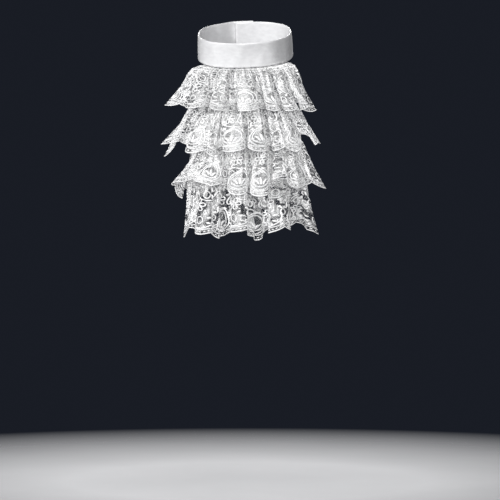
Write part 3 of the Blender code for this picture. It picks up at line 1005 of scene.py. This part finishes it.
def crease_rise(length, up):
    """How far the satin's waves and creases stand out, with none near the middle back."""
    total = waves(SATIN_WAVES, length, up)
    for place, width, rise, slant, height in CREASES:
        away = (length - place - slant * (up - 0.5)) / width
        total = total + rise * np.exp(-away * away) * np.exp(-((up - height) / CREASE_FADE) ** 2)
    from_back = np.minimum(length, neck_girth() - length)
    return total * ease((from_back - CREASE_START) / CREASE_ZONE)


def make_neckband(satin, sewing):
    """The neckband's folded strip of satin, and the stitches along its lower edge."""
    section = smooth([(BAND_HEIGHT * up, off) for up, off in BAND_SECTION], SECTION_STEP)
    across, share = grid(BAND_COLUMNS, len(section))
    shares = np.linspace(0.0, 1.0, len(section))
    up = np.interp(share, shares, section[:, 0] / BAND_HEIGHT)
    off = np.interp(share, shares, section[:, 1])
    length = band_length(across)
    from_end = np.minimum(length + 0.5 * BACK_LAP, neck_girth() + 0.5 * BACK_LAP - length)
    closed = np.sqrt(np.clip(from_end / BAND_END_ZONE, 0.0, 1.0))
    off = off * mix(BAND_END_SHARE, 1.0, closed) + crease_rise(length, up)
    chart = np.stack((length, share * BAND_CUT), -1)
    faces = grid_faces(*across.shape)
    band = make_piece("neckband_satin", band_surface(across, up, off), faces, satin, chart)
    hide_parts("neckband")
    share, row = seam_shares(BAND_SEAM), BAND_SEAM["up"] / BAND_HEIGHT
    off = BAND_SEAM["off"] + crease_rise(band_length(share), row)
    line = band_surface(share, row, off)
    sewn = stitches("neckband_stitches", line, line - band_surface(share, row, off - PROBE), sewing)


def make_backing(net, sewing):
    """The backing, with its side and lower edges turned to the back and stitched."""
    across, down = grid(*BACKING_GRID)
    mean_width = 0.5 * (BACKING_TOP + BACKING_BOTTOM)
    from_side = np.minimum(across, 1.0 - across) * mean_width
    from_foot = (1.0 - down) * BACKING_DROP
    hem = ease((BACKING_HEM - np.minimum(from_side, from_foot)) / HEM_STEP)
    front = lifted(backing_surface, across, down, BACKING_FRONT)
    back = lifted(backing_surface, across, down, -BACKING_BACK - HEM_THICK * hem)
    flat = np.stack((across * mean_width, down * BACKING_DROP), -1)
    points, chart = np.stack((front, back)), np.stack((flat, flat))
    sheet = make_piece("backing_cloth", points, slab_faces(*across.shape), net, chart)
    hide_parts("backing")
    rows = BACKING_SEAMS
    level, upright = (np.linspace(*rows[ends], rows["points"]) for ends in ("level", "side"))
    inset = rows["inset"]
    seams = [(level, 1.0 - rows["foot"] / BACKING_DROP), (inset, upright), (1.0 - inset, upright)]
    seams += [(level, (tier["heading"] + rows["tier"]) / BACKING_DROP)
              for tier in TIERS.values() if tier["sewn_to"] == "backing"]
    for number, (a, d) in enumerate(seams, 1):
        line = lifted(backing_surface, a, d, rows["lift"])
        away = line - backing_surface(a, d)
        stitches(f"backing_stitches_{number}", line, away, sewing)


def tape_roughness(across, up):
    """The small rise and fall of the loops' pile and of the hooks."""
    rough = TAPE_ROUGHNESS
    for (rate, shift, other_rate), one, other in zip(TAPE_WAVES, (across, up), (up, across)):
        rough = rough * np.sin(rate * one + shift * np.sin(other_rate * other))
    return rough


def make_tapes(pile, hooks):
    """The closure's two tapes: the loops face outwards, the hooks lie over them and face inwards."""
    across, up = grid(*TAPE_GRID)
    inset = np.minimum(np.minimum(across, 1.0 - across) * TAPE_LENGTH, np.minimum(up, 1.0 - up) * TAPE_HEIGHT)
    thick = TAPE_HALF * TAPE_WALL * mix(TAPE_RIM_SHARE, 1.0, ease(inset / TAPE_RIM))
    rough = tape_roughness(across, up)
    loop_out = 0.5 * BAND_WALL + SEAM_GAP + 0.5 * TAPE_WALL
    hook_out = loop_out + TAPE_WALL + SEAM_GAP
    flat = np.stack((across * TAPE_LENGTH, up * TAPE_HEIGHT), -1)
    for name, inner, outer, look in (
        ("loop_tape", loop_out - thick, loop_out + thick + rough, pile),
        ("hook_tape", hook_out - thick - rough, hook_out + thick, hooks),
    ):
        points = np.stack([tape_surface(across, up, out) for out in (inner, outer)])
        faces = slab_faces(*across.shape)
        tape = make_piece(name + "_cloth", points, faces, look, np.stack((flat, flat)))
        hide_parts(name)


def add_floor():
    turns, shares = grid(*FLOOR_GRID)
    turn, radius = math.tau * turns.ravel(), FLOOR_RADIUS * shares.ravel()
    points = np.stack((radius * np.cos(turn), radius * np.sin(turn), np.zeros_like(turn)), -1)
    mesh = bpy.data.meshes.new("floor")
    mesh.from_pydata(points.tolist(), [], grid_faces(*turns.shape))
    mesh.materials.append(floor_look())
    floor = new_object("floor", mesh)
    floor.location = (0.0, 0.0, FLOOR_Z)


def add_stage():
    """The camera, the lights, a dim world and the floor."""
    data = bpy.data.cameras.new("camera")
    data.lens = CAMERA_LENS
    data.clip_start, data.clip_end = CAMERA_CLIP
    camera = new_object("camera", data)
    camera.location = CAMERA_PLACE
    camera.rotation_euler = (math.radians(90.0), 0.0, 0.0)
    bpy.context.scene.camera = camera
    for name, place, target, size, power in LIGHTS:
        data = bpy.data.lights.new(name, "AREA")
        data.shape = "DISK"
        data.size = size
        data.energy = power
        light = new_object(name, data)
        light.location = place
        light.rotation_euler = (Vector(target) - Vector(place)).to_track_quat("-Z", "Y").to_euler()
    world = bpy.data.worlds.new("studio")
    bpy.context.scene.world = world
    world.use_nodes = True
    world.node_tree.nodes["Background"].inputs["Color"].default_value = WORLD_COLOUR
    bpy.context.scene.view_settings.view_transform = "Standard"
    add_floor()


def main():
    add_stage()
    sewing, thread = thread_look("sewing_thread"), thread_look("lace_thread")
    nets = {name: net_look(name) for name in NETS}
    make_neckband(satin_look(), sewing)
    make_backing(nets["backing_net"], sewing)
    make_tapes(*(woven_look(name, *look) for name, look in TAPE_LOOKS.items()))
    for name, tier in TIERS.items():
        make_tier(name, tier, nets[tier["net"]], thread, sewing)


main()
bpy.context.view_layer.update()
